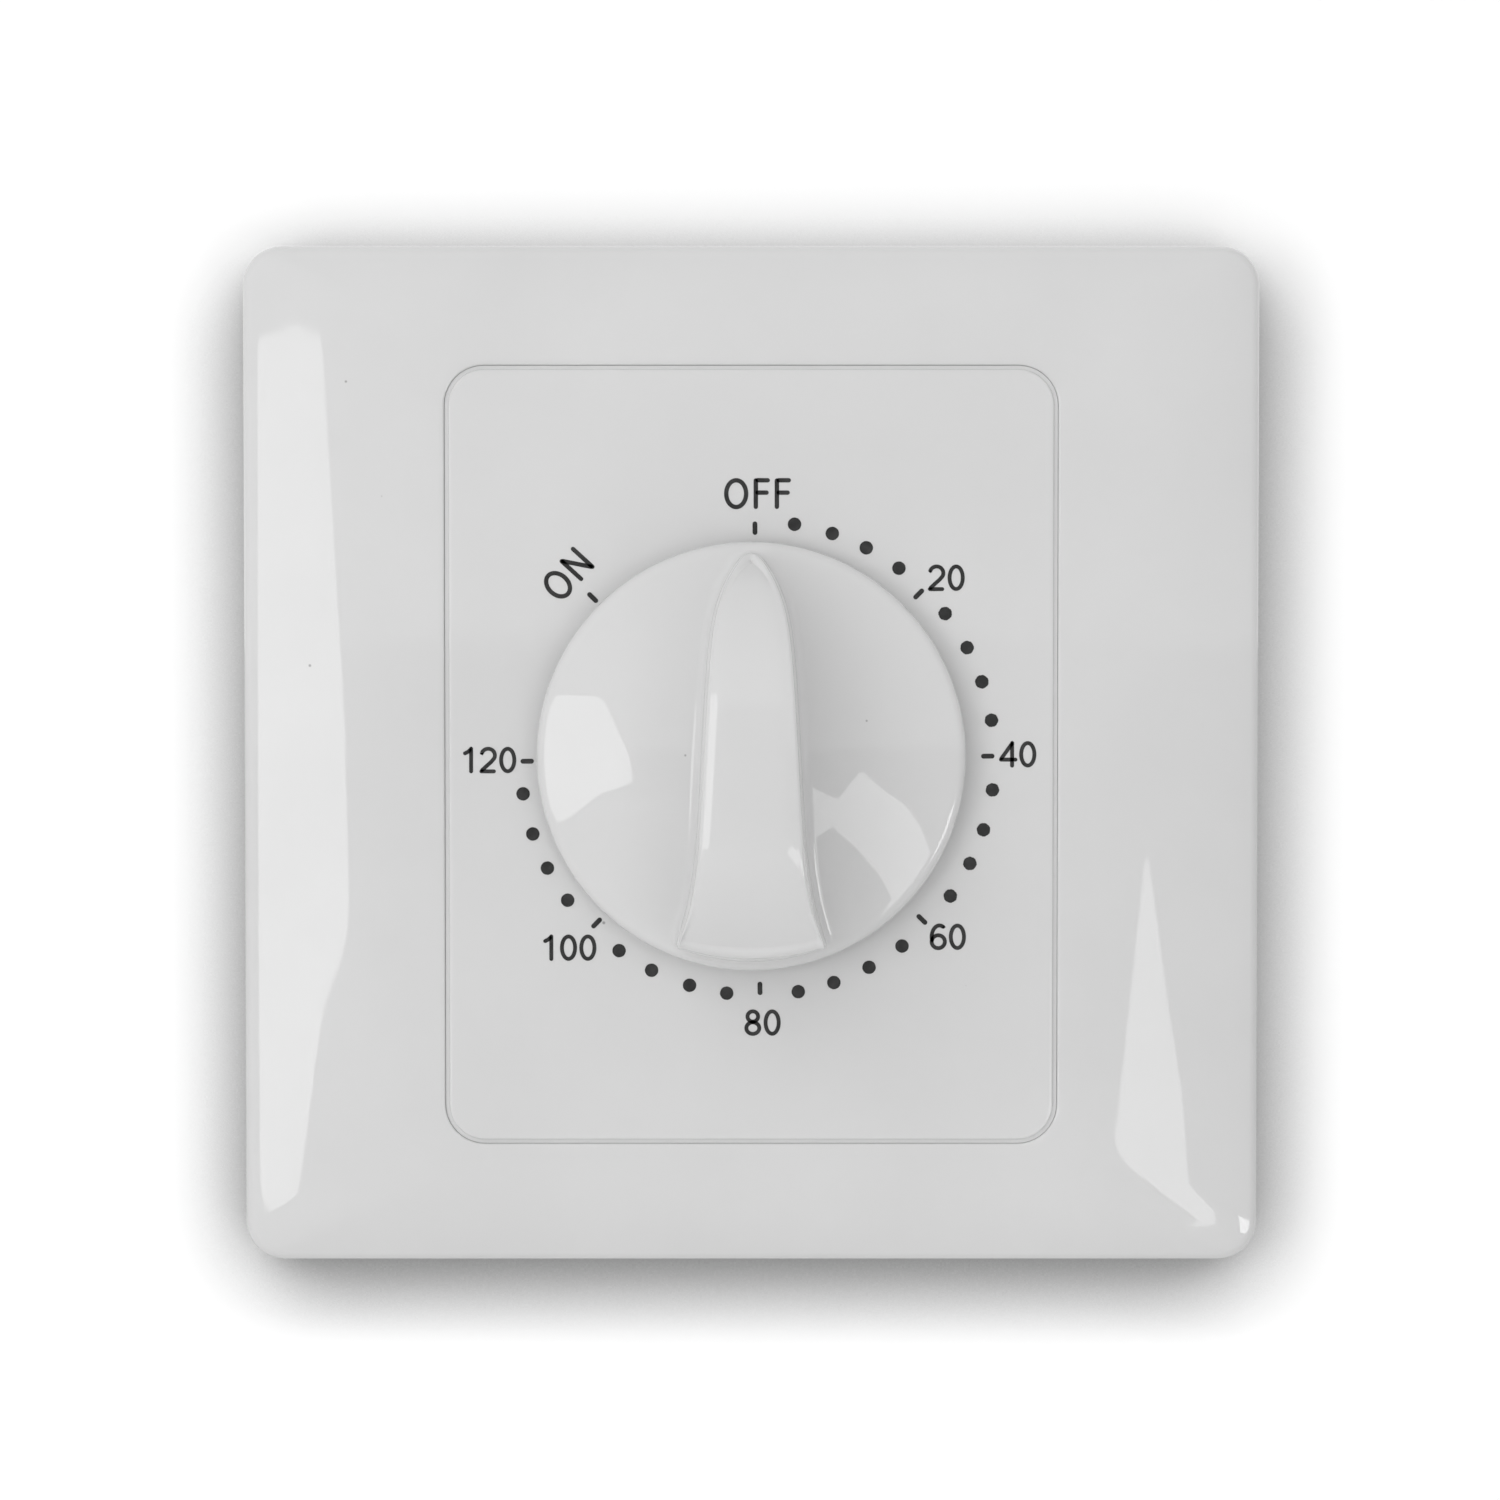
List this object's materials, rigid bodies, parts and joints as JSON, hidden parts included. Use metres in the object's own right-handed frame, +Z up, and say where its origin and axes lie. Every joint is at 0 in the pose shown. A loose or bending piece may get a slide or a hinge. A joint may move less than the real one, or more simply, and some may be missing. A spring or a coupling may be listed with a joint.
{
  "type": "timer light switch",
  "caption": "Square wall timer light switch with a clip-on pillow frame, flush dial panel, turning pointer knob on a wound clockwork movement, and a rear case with screw terminals.",
  "frame": {"origin": "midway between the two wall screw slots, on the wall plane at the back of the mounting frame", "axes": "+Z up, the knob faces -Y, the rear case goes into the wall along +Y"},
  "size_m": [0.086, 0.0518, 0.086],
  "materials": {
    "white_gloss": "glossy moulded white",
    "white_matt": "moulded off-white",
    "screw_steel": "bright zinc plate",
    "plate_steel": "cold-rolled steel",
    "brass": "stamped and turned brass",
    "spring_steel": "blued strip",
    "cam_plastic": "moulded grey",
    "insulator": "moulded dark phenolic",
    "silver": "silver contact face"
  },
  "bodies": {
    "housing": {"outer_frame": "white_gloss", "dial_panel": "white_gloss", "mounting_frame": "white_matt", "rear_case": "white_matt", "case_screws": "screw_steel", "panel_screws": "screw_steel", "front_plate": "plate_steel", "back_plate": "plate_steel", "pillars": "plate_steel", "shaft_bush": "brass", "mainspring": "spring_steel", "spring_post": "plate_steel", "contact_block": "insulator", "block_screws": "screw_steel", "fixed_contact": "brass", "fixed_tip": "silver", "moving_contact": "brass", "moving_tip": "silver", "left_terminal": "brass", "right_terminal": "brass", "terminal_screws": "screw_steel"},
    "knob_shaft": {"knob": "white_gloss", "knob_clip": "spring_steel", "main_shaft": "plate_steel", "great_wheel": "brass", "clutch_washer": "spring_steel", "cam": "cam_plastic"},
    "second_stage": {"second_arbor": "plate_steel", "second_wheel": "brass"},
    "third_stage": {"third_arbor": "plate_steel", "third_wheel": "brass"},
    "escape_stage": {"escape_arbor": "plate_steel", "escape_wheel": "brass"},
    "pallet": {"pallet_lever": "plate_steel", "pallet_arbor": "plate_steel"}
  },
  "joints": [
    {"name": "knob_turn", "type": "hinge", "parent": "housing", "child": "knob_shaft", "pos_m": [0, 0, 0], "axis": [0, -1, 0], "range_deg": [-270, 45], "deforming": ["mainspring", "moving_contact", "moving_tip"]},
    {"name": "second_spin", "type": "hinge", "parent": "housing", "child": "second_stage", "pos_m": [-0.00919, 0, 0.00919], "axis": [0, -1, 0], "continuous": true},
    {"name": "third_spin", "type": "hinge", "parent": "housing", "child": "third_stage", "pos_m": [0.00045, 0, 0.01309], "axis": [0, -1, 0], "continuous": true},
    {"name": "escape_spin", "type": "hinge", "parent": "housing", "child": "escape_stage", "pos_m": [0.00798, 0, 0.01107], "axis": [0, -1, 0], "continuous": true},
    {"name": "pallet_rock", "type": "hinge", "parent": "housing", "child": "pallet", "pos_m": [0.01474, 0, 0.00717], "axis": [0, -1, 0], "range_deg": [-4, 4]}
  ],
  "couplings": [
    {"joint": "second_spin", "follows": "knob_turn", "ratio": -9},
    {"joint": "third_spin", "follows": "knob_turn", "ratio": 63},
    {"joint": "escape_spin", "follows": "knob_turn", "ratio": -315}
  ]
}
